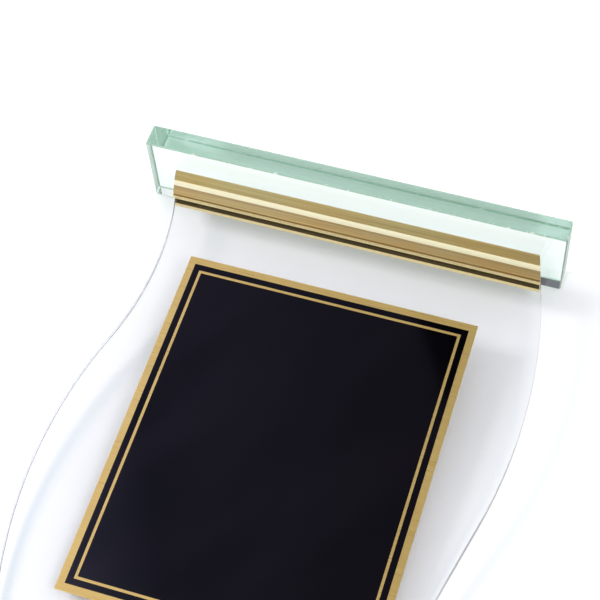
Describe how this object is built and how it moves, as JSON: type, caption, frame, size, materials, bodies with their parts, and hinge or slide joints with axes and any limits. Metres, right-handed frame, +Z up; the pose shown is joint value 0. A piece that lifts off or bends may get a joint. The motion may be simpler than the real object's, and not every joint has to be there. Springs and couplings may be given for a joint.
{
  "type": "award trophy",
  "caption": "Upright clear panel with wavy sides and an enamelled brass plate, standing in a gold bar on a glass slab base.",
  "frame": {"origin": "middle of the glass base's underside", "axes": "+Z up, -Y towards the front that carries the plate, +X to the right seen from the front"},
  "size_m": [0.2266, 0.046, 0.2816],
  "materials": {
    "jade_glass": "polished, pale green",
    "clear_acrylic": "polished, clear",
    "gold_aluminium": "gold anodised, brushed with a polished stripe",
    "satin_brass": "satin",
    "black_enamel": "gloss black enamel",
    "clear_adhesive": "clear adhesive film"
  },
  "bodies": {
    "root": {"glass_base": "jade_glass", "base_bond": "clear_adhesive", "holder_bar": "gold_aluminium", "slot_shim_front": "clear_adhesive", "slot_shim_rear": "clear_adhesive", "acrylic_panel": "clear_acrylic", "plate_tape": "clear_adhesive", "brass_plate": "satin_brass", "enamel_band": "black_enamel", "enamel_field": "black_enamel"}
  },
  "joints": []
}
